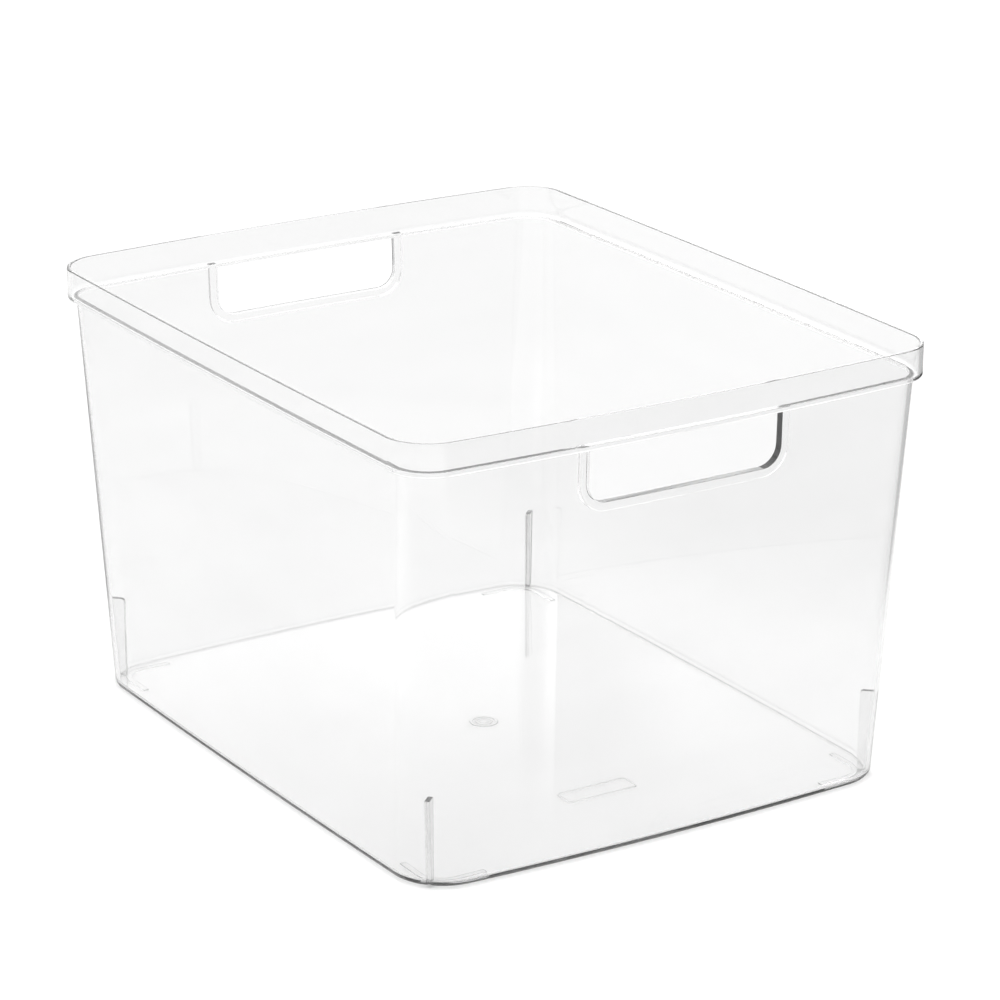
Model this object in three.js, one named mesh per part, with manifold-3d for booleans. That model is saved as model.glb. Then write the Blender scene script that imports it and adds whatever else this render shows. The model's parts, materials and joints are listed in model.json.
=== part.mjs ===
// Clear open-top storage bin, moulded in one piece and modelled feature by feature.
// Millimetres, +Z up. The bin stands on z = 0, centred on the Z axis, and its front wall faces -Y.

import * as THREE from "three";
import { mergeVertices } from "three/addons/utils/BufferGeometryUtils.js";
import loadManifold from "manifold-3d";

const wasm = await loadManifold();
wasm.setup();

// Rim: sizes across the middle of its bowed sides
const RIM_WIDTH = 288.7;
const RIM_DEPTH = 351.4;
const RIM_CORNER_RADIUS = 21.7;
const RIM_HEIGHT = 16;
const RIM_EDGE_RADIUS = 1.5;
const LEDGE_STEP = 4.3;
const LEDGE_THICKNESS = 1.9;

// Body: sizes across the middle of its bowed sides at the floor
const BASE_WIDTH = 265.2;
const BASE_DEPTH = 327;
const BASE_CORNER_RADIUS = 27;
const BASE_EDGE_RADIUS = 1.4;
const BODY_HEIGHT = 199;
const WALL = 1.9;
const FLOOR_THICKNESS = 1.8;

// Least flat left beside a rounded edge, however thin its wall
const EDGE_FLAT = 0.2;

// How far the middle of a side stands out from its ends
const SIDE_BOW = 1.65;
const END_BOW = 4.6;

// Hand-holds, open from their lower edge up to the ledge
const HANDLE_WIDTH = 104.2;
const HANDLE_HEIGHT = 26.1;
const HANDLE_CORNER_RADIUS = 9.5;
const HANDLE_BORDER = 4.4;
const HANDLE_BORDER_PROUD = 2.4;
const BORDER_CLEARANCE = 0.1;

// Anti-jam fins across the inside of the corners, with a plumb inner edge
const FIN_HEIGHT = 41;
const FIN_THICKNESS = 2.4;
const FIN_REACH = 4.2;
const FIN_TOP_RADIUS = 1.8;
const FIN_CLEARANCE = 0.3;

// L-shaped runners that the bin stands on
const FOOT_HEIGHT = 0.5;
const FOOT_WIDTH = 3;
const FOOT_LEG = 28.5;
const FOOT_BEND_RADIUS = 13;
const FOOT_INSET = 10.3;

// Low marks under the floor
const MARK_RELIEF = 0.3;
const GATE_RADIUS = 7;
const LABEL_WIDTH = 39;
const LABEL_DEPTH = 12.5;
const LABEL_CORNER_RADIUS = 2.5;
const LABEL_FROM_FRONT = 62;

// Facets on the curved stretches
const SIDE_FACETS = 12;
const CORNER_FACETS = 10;
const EDGE_FACETS = 3;
const QUARTER_FACETS = 8;

// Heights of the levels that the pieces meet at
const FLOOR_TOP = FOOT_HEIGHT + FLOOR_THICKNESS;
const LEDGE_BOTTOM = FLOOR_TOP + BODY_HEIGHT;
const LEDGE_TOP = LEDGE_BOTTOM + LEDGE_THICKNESS;
const RIM_TOP = LEDGE_BOTTOM + RIM_HEIGHT;

// A plan outline with bowed sides and round corners; an inset gives a parallel outline inside it
class Plan {
  constructor(width, depth, cornerRadius) {
    this.halfWidth = width / 2;
    this.halfDepth = depth / 2;
    this.cornerRadius = cornerRadius;
    this.endRadius = Plan.arcRadius(this.halfWidth - SIDE_BOW, END_BOW);
    this.sideRadius = Plan.arcRadius(this.halfDepth - END_BOW, SIDE_BOW);
    this.endCentre = new THREE.Vector2(0, this.halfDepth - this.endRadius);
    this.sideCentre = new THREE.Vector2(this.halfWidth - this.sideRadius, 0);
    this.cornerCentre = this.findCornerCentre();
    this.endAngle = this.cornerCentre.clone().sub(this.endCentre).angle();
    this.sideAngle = this.cornerCentre.clone().sub(this.sideCentre).angle();
  }

  // Radius of an arc from half its chord and the height of its bow
  static arcRadius(halfChord, bow) {
    return (halfChord ** 2 + bow ** 2) / (2 * bow);
  }

  // The corner's arc lies inside the end's arc and the side's arc and touches both
  findCornerCentre() {
    const fromEnd = this.endRadius - this.cornerRadius;
    const fromSide = this.sideRadius - this.cornerRadius;
    const apart = this.sideCentre.clone().sub(this.endCentre);
    const distance = apart.length();
    const along = (distance ** 2 + fromEnd ** 2 - fromSide ** 2) / (2 * distance);
    const across = Math.sqrt(fromEnd ** 2 - along ** 2);
    const direction = apart.normalize();
    const sideways = new THREE.Vector2(direction.y, -direction.x);
    return this.endCentre.clone().addScaledVector(direction, along).addScaledVector(sideways, across);
  }

  endDistance(x, inset) {
    return this.endCentre.y + Math.sqrt((this.endRadius - inset) ** 2 - x ** 2);
  }

  sideDistance(y, inset) {
    return this.sideCentre.x + Math.sqrt((this.sideRadius - inset) ** 2 - y ** 2);
  }

  cornerPoint(fraction, inset) {
    const angle = THREE.MathUtils.lerp(this.endAngle, this.sideAngle, fraction);
    const radius = this.cornerRadius - inset;
    return new THREE.Vector2(Math.cos(angle), Math.sin(angle)).multiplyScalar(radius).add(this.cornerCentre);
  }
}

const rimPlan = new Plan(RIM_WIDTH, RIM_DEPTH, RIM_CORNER_RADIUS);
const basePlan = new Plan(BASE_WIDTH, BASE_DEPTH, BASE_CORNER_RADIUS);

// Upright planes where the corner walls take over from the four walls
const SEAM_X = Math.min(basePlan.cornerCentre.x, rimPlan.cornerCentre.x);
const SEAM_Y = Math.min(basePlan.cornerCentre.y, rimPlan.cornerCentre.y);

// Stations: each gives a place round the outline, on any plan and at any inset
const endStation = (x, signY) => (plan, inset) => new THREE.Vector2(x, signY * plan.endDistance(x, inset));

const sideStation = (y, signX) => (plan, inset) => new THREE.Vector2(signX * plan.sideDistance(y, inset), y);

const cornerStation = (fraction, signX, signY) => (plan, inset) =>
  plan.cornerPoint(fraction, inset).multiply(new THREE.Vector2(signX, signY));

// Evenly spaced numbers, both ends included
function spread(start, end, steps) {
  return Array.from({ length: steps + 1 }, (_, step) => THREE.MathUtils.lerp(start, end, step / steps));
}

function endStations(signY, halfSpan) {
  return spread(signY * halfSpan, -signY * halfSpan, SIDE_FACETS).map((x) => endStation(x, signY));
}

function sideStations(signX) {
  return spread(-signX * SEAM_Y, signX * SEAM_Y, SIDE_FACETS).map((y) => sideStation(y, signX));
}

// Counter-clockwise round one corner, from the end to the side or back
function cornerArc(signX, signY) {
  const endFirst = signX * signY < 0;
  const fractions = endFirst ? spread(0, 1, CORNER_FACETS) : spread(1, 0, CORNER_FACETS);
  return fractions.map((fraction) => cornerStation(fraction, signX, signY));
}

function cornerStations(signX, signY) {
  const onEnd = endStation(signX * SEAM_X, signY);
  const onSide = sideStation(signY * SEAM_Y, signX);
  const arc = cornerArc(signX, signY);
  return signX * signY < 0 ? [onEnd, ...arc, onSide] : [onSide, ...arc, onEnd];
}

const roundStations = [
  ...endStations(-1, SEAM_X),
  ...cornerArc(1, -1),
  ...sideStations(1),
  ...cornerArc(1, 1),
  ...endStations(1, SEAM_X),
  ...cornerArc(-1, 1),
  ...sideStations(-1),
  ...cornerArc(-1, -1),
];

// Points on the tapered body, straight between the floor and the ledge, and on the upright rim
function bodyPoint(station, inset, z) {
  const low = station(basePlan, inset);
  const high = station(rimPlan, LEDGE_STEP + inset);
  const share = (z - FLOOR_TOP) / BODY_HEIGHT;
  const place = low.lerp(high, share);
  return [place.x, place.y, z];
}

function rimPoint(station, inset, z) {
  const place = station(rimPlan, inset);
  return [place.x, place.y, z];
}

function basePoint(station, inset, z) {
  const place = station(basePlan, inset);
  return [place.x, place.y, z];
}

function indexedGeometry(points, triangles) {
  const geometry = new THREE.BufferGeometry();
  geometry.setAttribute("position", new THREE.Float32BufferAttribute(points.flat(), 3));
  geometry.setIndex(triangles.flat());
  geometry.computeVertexNormals();
  return geometry;
}

// Two triangles for each step of a profile between neighbouring stations
function skin(stationCount, profileCount, stationsClose, profileCloses) {
  const triangles = [];
  const stationSteps = stationsClose ? stationCount : stationCount - 1;
  const profileSteps = profileCloses ? profileCount : profileCount - 1;
  for (let station = 0; station < stationSteps; station += 1) {
    const here = station * profileCount;
    const next = ((station + 1) % stationCount) * profileCount;
    for (let step = 0; step < profileSteps; step += 1) {
      const after = (step + 1) % profileCount;
      triangles.push([here + step, next + step, next + after]);
      triangles.push([here + step, next + after, here + after]);
    }
  }
  return triangles;
}

// A closed profile carried along stations; profile points run up the outside and down the inside
function sweep(stations, profile, pointAt, closed) {
  const points = stations.flatMap((station) => profile.map(([inset, z]) => pointAt(station, inset, z)));
  const triangles = skin(stations.length, profile.length, closed, true);
  if (!closed) {
    const last = (stations.length - 1) * profile.length;
    for (let step = 1; step < profile.length - 1; step += 1) {
      triangles.push([0, step, step + 1]);
      triangles.push([last, last + step + 1, last + step]);
    }
  }
  return indexedGeometry(points, triangles);
}

// A solid plate: its edge profile runs upwards round all stations, and flat faces close it
function plate(stations, profile, pointAt) {
  const points = stations.flatMap((station) => profile.map(([inset, z]) => pointAt(station, inset, z)));
  const triangles = skin(stations.length, profile.length, true, false);
  const top = profile.length - 1;
  const lowCentre = points.length;
  const highCentre = lowCentre + 1;
  points.push([0, 0, profile[0][1]], [0, 0, profile[top][1]]);
  stations.forEach((_, station) => {
    const here = station * profile.length;
    const next = ((station + 1) % stations.length) * profile.length;
    triangles.push([lowCentre, next, here]);
    triangles.push([highCentre, here + top, next + top]);
  });
  return indexedGeometry(points, triangles);
}

// Inset and height along a rounded lower edge, from its flat underside up to its upright face
function roundedEdge(radius, bottom) {
  return spread(0, Math.PI / 2, EDGE_FACETS).map((angle) => [
    radius * (1 - Math.sin(angle)),
    bottom + radius * (1 - Math.cos(angle)),
  ]);
}

function toSolid(geometry) {
  const bare = geometry.clone();
  bare.deleteAttribute("normal");
  bare.deleteAttribute("uv");
  const merged = mergeVertices(bare);
  return new wasm.Manifold(
    new wasm.Mesh({
      numProp: 3,
      vertProperties: new Float32Array(merged.attributes.position.array),
      triVerts: new Uint32Array(merged.index.array),
    }),
  );
}

function toGeometry(solid) {
  const { vertProperties, triVerts } = solid.getMesh();
  const geometry = new THREE.BufferGeometry();
  geometry.setAttribute("position", new THREE.BufferAttribute(vertProperties, 3));
  geometry.setIndex(new THREE.BufferAttribute(triVerts, 1));
  geometry.computeVertexNormals();
  return geometry;
}

// An upright slot outline, round at its lower corners and open past the ledge, as a bar through both ends
function handleBar(halfWidth, bottom, cornerRadius) {
  const outline = new THREE.Shape();
  outline.moveTo(halfWidth, RIM_TOP);
  outline.lineTo(-halfWidth, RIM_TOP);
  outline.lineTo(-halfWidth, bottom + cornerRadius);
  outline.absarc(-halfWidth + cornerRadius, bottom + cornerRadius, cornerRadius, Math.PI, 1.5 * Math.PI);
  outline.absarc(halfWidth - cornerRadius, bottom + cornerRadius, cornerRadius, 1.5 * Math.PI, 2 * Math.PI);
  outline.closePath();
  const bar = new THREE.ExtrudeGeometry(outline, {
    depth: 2 * RIM_DEPTH,
    bevelEnabled: false,
    curveSegments: QUARTER_FACETS,
  });
  bar.rotateX(Math.PI / 2);
  bar.translate(0, RIM_DEPTH, 0);
  return toSolid(bar);
}

const handleBottom = LEDGE_BOTTOM - HANDLE_HEIGHT;
const borderHalfWidth = HANDLE_WIDTH / 2 + HANDLE_BORDER;
const borderBottom = handleBottom - HANDLE_BORDER;
const handleOpening = handleBar(HANDLE_WIDTH / 2, handleBottom, HANDLE_CORNER_RADIUS);
const handleBorder = handleBar(borderHalfWidth, borderBottom, HANDLE_CORNER_RADIUS + HANDLE_BORDER);

const wallProfile = [
  [0, FLOOR_TOP],
  [0, LEDGE_BOTTOM],
  [WALL, LEDGE_BOTTOM],
  [WALL, FLOOR_TOP],
];

const rimProfile = [
  ...roundedEdge(Math.min(RIM_EDGE_RADIUS, WALL - EDGE_FLAT), LEDGE_BOTTOM),
  [0, RIM_TOP],
  [WALL, RIM_TOP],
  [WALL, LEDGE_BOTTOM],
];

function floorPanel() {
  const edge = roundedEdge(Math.min(BASE_EDGE_RADIUS, FLOOR_THICKNESS - EDGE_FLAT), FOOT_HEIGHT);
  return plate(roundStations, [...edge, [0, FLOOR_TOP]], basePoint);
}

function endWall(signY) {
  const wall = toSolid(sweep(endStations(signY, SEAM_X), wallProfile, bodyPoint, false));
  return toGeometry(wall.subtract(handleOpening));
}

function sideWall(signX) {
  return sweep(sideStations(signX), wallProfile, bodyPoint, false);
}

function cornerWall(signX, signY) {
  return sweep(cornerStations(signX, signY), wallProfile, bodyPoint, false);
}

// A flat step from the top of the walls out to the inside of the rim
function stackingLedge() {
  const inside = LEDGE_STEP + WALL;
  const profile = [
    [WALL, LEDGE_BOTTOM],
    [WALL, LEDGE_TOP],
    [inside, LEDGE_TOP],
    [inside, LEDGE_BOTTOM],
  ];
  return sweep(roundStations, profile, rimPoint, true);
}

function endRim(signY) {
  return sweep(endStations(signY, SEAM_X), rimProfile, rimPoint, false);
}

function sideRim(signX) {
  return sweep(sideStations(signX), rimProfile, rimPoint, false);
}

function cornerRim(signX, signY) {
  return sweep(cornerStations(signX, signY), rimProfile, rimPoint, false);
}

// A slab on the outside of the end wall, cut to the flat border round the hand-hold
function handleSurround(signY) {
  const inside = -BORDER_CLEARANCE;
  const outside = inside - HANDLE_BORDER_PROUD;
  const profile = [
    [outside, FLOOR_TOP],
    [outside, LEDGE_BOTTOM],
    [inside, LEDGE_BOTTOM],
    [inside, FLOOR_TOP],
  ];
  const slab = toSolid(sweep(endStations(signY, SEAM_X), profile, bodyPoint, false));
  return toGeometry(slab.intersect(handleBorder).subtract(handleOpening));
}

// Local X runs outwards from the fin's plumb edge, to the sloping inside of the corner
function cornerFin(wallLean) {
  const lowReach = FIN_REACH - FIN_CLEARANCE;
  const highReach = lowReach + wallLean * FIN_HEIGHT;
  const top = FLOOR_TOP + FIN_HEIGHT;
  const outline = new THREE.Shape();
  outline.moveTo(0, FLOOR_TOP);
  outline.lineTo(lowReach, FLOOR_TOP);
  outline.lineTo(highReach, top);
  outline.lineTo(FIN_TOP_RADIUS, top);
  outline.absarc(FIN_TOP_RADIUS, top - FIN_TOP_RADIUS, FIN_TOP_RADIUS, Math.PI / 2, Math.PI);
  outline.closePath();
  const fin = new THREE.ExtrudeGeometry(outline, {
    depth: FIN_THICKNESS,
    bevelEnabled: false,
    curveSegments: QUARTER_FACETS,
  });
  fin.rotateX(Math.PI / 2);
  fin.translate(0, FIN_THICKNESS / 2, 0);
  return fin;
}

function placedFin(name, signX, signY) {
  const halfWay = 0.5;
  const middle = cornerStation(halfWay, signX, signY);
  const low = new THREE.Vector3(...bodyPoint(middle, WALL, FLOOR_TOP));
  const high = new THREE.Vector3(...bodyPoint(middle, WALL, LEDGE_BOTTOM));
  const outwards = new THREE.Vector3(signX, signY, 0).normalize();
  const wallLean = high.sub(low).dot(outwards) / BODY_HEIGHT;
  const mesh = moulded(name, cornerFin(wallLean));
  mesh.position.set(low.x - FIN_REACH * outwards.x, low.y - FIN_REACH * outwards.y, 0);
  mesh.rotation.z = Math.atan2(outwards.y, outwards.x);
  return mesh;
}

function footRunner(signX, signY) {
  const outerX = BASE_WIDTH / 2 - FOOT_INSET;
  const outerY = BASE_DEPTH / 2 - FOOT_INSET;
  const bend = new THREE.Vector2(outerX - FOOT_BEND_RADIUS, outerY - FOOT_BEND_RADIUS);
  const arc = (radius, start, end) =>
    spread(start, end, CORNER_FACETS).map((angle) =>
      new THREE.Vector2(Math.cos(angle), Math.sin(angle)).multiplyScalar(radius).add(bend),
    );
  const points = [
    new THREE.Vector2(outerX - FOOT_LEG, outerY),
    ...arc(FOOT_BEND_RADIUS, Math.PI / 2, 0),
    new THREE.Vector2(outerX, outerY - FOOT_LEG),
    new THREE.Vector2(outerX - FOOT_WIDTH, outerY - FOOT_LEG),
    ...arc(FOOT_BEND_RADIUS - FOOT_WIDTH, 0, Math.PI / 2),
    new THREE.Vector2(outerX - FOOT_LEG, outerY - FOOT_WIDTH),
  ];
  const outline = new THREE.Shape(points.map((point) => point.multiply(new THREE.Vector2(signX, signY))));
  return new THREE.ExtrudeGeometry(outline, { depth: FOOT_HEIGHT, bevelEnabled: false });
}

function gateMark() {
  const disc = new THREE.CylinderGeometry(GATE_RADIUS, GATE_RADIUS, MARK_RELIEF, 4 * QUARTER_FACETS);
  disc.rotateX(Math.PI / 2);
  disc.translate(0, 0, FOOT_HEIGHT - MARK_RELIEF / 2);
  return disc;
}

function labelPanel() {
  const right = LABEL_WIDTH / 2;
  const back = LABEL_DEPTH / 2;
  const radius = LABEL_CORNER_RADIUS;
  const outline = new THREE.Shape();
  outline.absarc(right - radius, back - radius, radius, 0, Math.PI / 2);
  outline.absarc(radius - right, back - radius, radius, Math.PI / 2, Math.PI);
  outline.absarc(radius - right, radius - back, radius, Math.PI, 1.5 * Math.PI);
  outline.absarc(right - radius, radius - back, radius, 1.5 * Math.PI, 2 * Math.PI);
  outline.closePath();
  const panel = new THREE.ExtrudeGeometry(outline, {
    depth: MARK_RELIEF,
    bevelEnabled: false,
    curveSegments: QUARTER_FACETS,
  });
  panel.translate(0, LABEL_FROM_FRONT - BASE_DEPTH / 2, FOOT_HEIGHT - MARK_RELIEF);
  return panel;
}

function clearPlastic() {
  return new THREE.MeshStandardMaterial({
    color: 0xf1f4f4,
    roughness: 0.06,
    metalness: 0,
    transparent: true,
    opacity: 0.3,
  });
}

function moulded(name, geometry) {
  const mesh = new THREE.Mesh(geometry, clearPlastic());
  mesh.name = name;
  return mesh;
}

const bin = new THREE.Group();
bin.name = "storage_bin";
bin.add(
  moulded("floor_panel", floorPanel()),
  moulded("front_wall", endWall(-1)),
  moulded("back_wall", endWall(1)),
  moulded("left_wall", sideWall(-1)),
  moulded("right_wall", sideWall(1)),
  moulded("stacking_ledge", stackingLedge()),
  moulded("rim_front", endRim(-1)),
  moulded("rim_back", endRim(1)),
  moulded("rim_left", sideRim(-1)),
  moulded("rim_right", sideRim(1)),
  moulded("handle_surround_front", handleSurround(-1)),
  moulded("handle_surround_back", handleSurround(1)),
  moulded("gate_mark", gateMark()),
  moulded("label_panel", labelPanel()),
);

const corners = [
  ["front_left", -1, -1],
  ["front_right", 1, -1],
  ["back_left", -1, 1],
  ["back_right", 1, 1],
];
for (const [place, signX, signY] of corners) {
  bin.add(
    moulded(`corner_${place}`, cornerWall(signX, signY)),
    moulded(`rim_corner_${place}`, cornerRim(signX, signY)),
    placedFin(`fin_${place}`, signX, signY),
    moulded(`foot_${place}`, footRunner(signX, signY)),
  );
}

export default bin;
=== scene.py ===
"""Clear open-top storage bin: one polished moulding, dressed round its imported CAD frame.

Metres, +Z up. The bin stands on z = 0, centred on the Z axis, and its front wall faces -Y.
"""

import json
import logging
import math
from collections.abc import Callable, Iterator
from contextlib import contextmanager
from dataclasses import dataclass
from enum import Enum
from typing import ClassVar

import bpy
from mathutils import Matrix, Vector

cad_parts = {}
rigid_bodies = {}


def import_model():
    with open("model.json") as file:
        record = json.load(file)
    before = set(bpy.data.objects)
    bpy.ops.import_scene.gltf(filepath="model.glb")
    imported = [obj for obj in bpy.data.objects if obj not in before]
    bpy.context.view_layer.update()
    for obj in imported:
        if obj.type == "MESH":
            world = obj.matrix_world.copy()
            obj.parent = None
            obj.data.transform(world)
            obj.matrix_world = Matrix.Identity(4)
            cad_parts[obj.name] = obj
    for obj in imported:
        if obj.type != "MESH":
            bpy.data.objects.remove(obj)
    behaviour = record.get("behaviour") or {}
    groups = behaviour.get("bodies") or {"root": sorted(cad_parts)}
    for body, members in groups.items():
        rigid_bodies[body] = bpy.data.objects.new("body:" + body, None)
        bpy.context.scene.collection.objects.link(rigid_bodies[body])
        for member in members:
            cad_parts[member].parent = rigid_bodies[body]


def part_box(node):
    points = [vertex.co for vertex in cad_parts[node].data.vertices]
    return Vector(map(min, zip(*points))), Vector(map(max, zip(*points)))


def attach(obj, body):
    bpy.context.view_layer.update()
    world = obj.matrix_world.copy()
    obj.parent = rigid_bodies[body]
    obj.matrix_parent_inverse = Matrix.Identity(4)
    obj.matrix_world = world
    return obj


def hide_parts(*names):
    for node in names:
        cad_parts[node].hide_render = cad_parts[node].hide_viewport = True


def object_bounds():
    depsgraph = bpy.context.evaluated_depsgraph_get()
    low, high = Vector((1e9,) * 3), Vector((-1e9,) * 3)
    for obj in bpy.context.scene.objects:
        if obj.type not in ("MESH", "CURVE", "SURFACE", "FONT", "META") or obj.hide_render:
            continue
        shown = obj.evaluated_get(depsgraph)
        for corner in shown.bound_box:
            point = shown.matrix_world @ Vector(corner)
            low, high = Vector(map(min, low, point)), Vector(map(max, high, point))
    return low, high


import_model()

LOG = logging.getLogger("storage_bin")
CAD_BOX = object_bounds()
BODY = "root"
UP = (0.0, 0.0, 1.0)
MERGE_DISTANCE = 2e-5
FULL_WEIGHT = 0.999
SMOOTH_ANGLE = math.radians(35)
FLAT_ANGLE = math.radians(0.05)
FACE_WEIGHT = 100
DIAGONAL = math.sqrt(0.5)
FRONT_LEFT_BEARING = math.radians(-135)

Test = Callable[[Vector], bool]
EdgeTest = Callable[[Vector, Vector], bool]


class Corner(Enum):
    """A corner of the bin, with the signs of its X and Y."""

    FRONT_LEFT = (-1, -1)
    FRONT_RIGHT = (1, -1)
    BACK_LEFT = (-1, 1)
    BACK_RIGHT = (1, 1)

    @property
    def place(self) -> str:
        """The corner's name, as the nodes spell it."""
        return self.name.lower()


class Carve(Enum):
    """What a second solid does to a piece."""

    JOIN = "UNION"
    CUT = "DIFFERENCE"
    KEEP = "INTERSECT"


class Slot(Enum):
    """The record's material slots."""

    CLEAR = "clear_plastic"
    SATIN = "satin_mark"


class Combine(Enum):
    """How two values of a node tree become one."""

    SUM = "ADD"
    PRODUCT = "MULTIPLY"
    LARGER = "MAXIMUM"


def only(piece: bpy.types.Object) -> None:
    """Make one object the active one and the only one selected.

    Args:
        piece: The object to work on.
    """
    bpy.ops.object.select_all(action="DESELECT")
    piece.select_set(True)
    bpy.context.view_layer.objects.active = piece


def named(name: str) -> bpy.types.Object:
    """Name the object that an operator has just added, and its mesh.

    Args:
        name: The name to give.

    Returns:
        The new object.
    """
    piece = bpy.context.object
    piece.name = name
    piece.data.name = name
    return piece


@contextmanager
def editing(piece: bpy.types.Object) -> Iterator[None]:
    """Hold one piece in edit mode, with nothing selected at the start.

    Args:
        piece: The mesh object to edit.

    Yields:
        Nothing; the mesh is back in object mode afterwards.
    """
    only(piece)
    bpy.ops.object.mode_set(mode="EDIT")
    bpy.ops.mesh.select_mode(type="VERT")
    bpy.ops.mesh.select_all(action="DESELECT")
    yield
    bpy.ops.object.mode_set(mode="OBJECT")


def pick_points(piece: bpy.types.Object, test: Test) -> None:
    """Select vertices by their place, in edit mode.

    Args:
        piece: The object in edit mode.
        test: Says whether a vertex at a place is wanted.
    """
    bpy.ops.mesh.select_mode(type="VERT")
    bpy.ops.mesh.select_all(action="DESELECT")
    bpy.ops.object.mode_set(mode="OBJECT")
    for vertex in piece.data.vertices:
        vertex.select = test(vertex.co)
    bpy.ops.object.mode_set(mode="EDIT")


def pick_edges(piece: bpy.types.Object, test: EdgeTest) -> None:
    """Select edges by the places of their two ends, in edit mode.

    Args:
        piece: The object in edit mode.
        test: Says whether an edge between two places is wanted.
    """
    bpy.ops.mesh.select_mode(type="EDGE")
    bpy.ops.mesh.select_all(action="DESELECT")
    bpy.ops.object.mode_set(mode="OBJECT")
    points = piece.data.vertices
    for edge in piece.data.edges:
        first, second = edge.vertices
        edge.select = test(points[first].co, points[second].co)
    bpy.ops.object.mode_set(mode="EDIT")


def pick_groups(piece: bpy.types.Object, *names: str) -> None:
    """Select the vertices that belong wholly to the named groups, in edit mode.

    Args:
        piece: The object in edit mode.
        names: The vertex groups to select.
    """
    wanted = {piece.vertex_groups[name].index for name in names}
    bpy.ops.mesh.select_mode(type="VERT")
    bpy.ops.mesh.select_all(action="DESELECT")
    bpy.ops.object.mode_set(mode="OBJECT")
    for vertex in piece.data.vertices:
        vertex.select = any(part.group in wanted and part.weight > FULL_WEIGHT for part in vertex.groups)
    bpy.ops.object.mode_set(mode="EDIT")


def close_up() -> None:
    """Merge doubles and turn all faces outwards, in edit mode."""
    bpy.ops.mesh.select_all(action="SELECT")
    bpy.ops.mesh.remove_doubles(threshold=MERGE_DISTANCE)
    bpy.ops.mesh.normals_make_consistent(inside=False)


def carve(piece: bpy.types.Object, tool: bpy.types.Object, how: Carve) -> None:
    """Join, cut or keep a piece by a second solid, which is used up.

    Args:
        piece: The solid that changes.
        tool: The solid that changes it.
        how: What the tool does.
    """
    only(piece)
    modifier = piece.modifiers.new(how.name, "BOOLEAN")
    modifier.operation = how.value
    modifier.solver = "MANIFOLD"
    modifier.object = tool
    bpy.ops.object.modifier_apply(modifier=modifier.name)
    bpy.data.objects.remove(tool)


def soften(piece: bpy.types.Object, radius: float, segments: int) -> None:
    """Round every sharp edge of a piece.

    Args:
        piece: The object to round.
        radius: The rounding's radius.
        segments: The facets across each rounding.
    """
    only(piece)
    modifier = piece.modifiers.new("soften", "BEVEL")
    modifier.width = radius
    modifier.segments = segments
    modifier.limit_method = "ANGLE"
    modifier.angle_limit = SMOOTH_ANGLE
    bpy.ops.object.modifier_apply(modifier=modifier.name)


def polish(piece: bpy.types.Object) -> None:
    """Shade a finished piece smooth, with flat faces kept flat up to their roundings.

    Args:
        piece: The finished object.
    """
    only(piece)
    bpy.ops.object.shade_smooth_by_angle(angle=SMOOTH_ANGLE)
    modifier = piece.modifiers.new("flat_faces", "WEIGHTED_NORMAL")
    modifier.keep_sharp = True
    modifier.weight = FACE_WEIGHT
    bpy.ops.object.modifier_apply(modifier=modifier.name)
    piece.vertex_groups.clear()


def settle(piece: bpy.types.Object) -> None:
    """Move a piece's place, turn and scale into its mesh."""
    only(piece)
    bpy.ops.object.transform_apply(location=True, rotation=True, scale=True)


def copied(piece: bpy.types.Object, name: str, flip_x: int, flip_y: int) -> bpy.types.Object:
    """Copy a piece to another side of the bin.

    Args:
        piece: The piece to copy, which stays as it is.
        name: The copy's name.
        flip_x: -1 to mirror the copy across the plane x = 0, or else 1.
        flip_y: -1 to mirror the copy across the plane y = 0, or else 1.

    Returns:
        The copy, with its own mesh.
    """
    only(piece)
    bpy.ops.object.duplicate()
    twin = named(name)
    twin.scale = (flip_x, flip_y, 1.0)
    settle(twin)
    with editing(twin):
        close_up()
    return twin


def at_corners(piece: bpy.types.Object, stem: str, first: Corner) -> dict[Corner, bpy.types.Object]:
    """Copy a piece from its own corner to the other three.

    Args:
        piece: The piece in its own corner.
        stem: What the copies' names start with.
        first: The corner that the piece stands in.

    Returns:
        The piece and its copies, by their corners.
    """
    pieces = {}
    for corner in Corner:
        flip_x, flip_y = (there * here for there, here in zip(corner.value, first.value))
        name = f"{stem}_{corner.place}"
        pieces[corner] = piece if corner is first else copied(piece, name, flip_x, flip_y)
    return pieces


@dataclass(frozen=True)
class Arc:
    """A stretch of a plan outline, drawn counter-clockwise."""

    centre: tuple[float, float]
    radius: float
    start: float
    sweep: float
    steps: int

    def begin(self, height: float) -> tuple[float, float, float]:
        """Find where the arc starts.

        Args:
            height: The level that the arc lies on.

        Returns:
            The arc's first point.
        """
        x = self.centre[0] + self.radius * math.cos(self.start)
        y = self.centre[1] + self.radius * math.sin(self.start)
        return x, y, height

    def spin(self, height: float) -> None:
        """Spin the selected vertex along the arc, in edit mode.

        Args:
            height: The level that the arc lies on.
        """
        centre = (*self.centre, height)
        bpy.ops.mesh.spin(steps=self.steps, angle=-self.sweep, center=centre, axis=UP)


def drop_point(place: tuple[float, float, float]) -> None:
    """Add one selected vertex to the mesh in edit mode.

    Args:
        place: Where the vertex goes.
    """
    bpy.ops.mesh.select_mode(type="VERT")
    bpy.ops.mesh.primitive_plane_add(size=MERGE_DISTANCE, location=place)
    bpy.ops.mesh.merge(type="CENTER")


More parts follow.
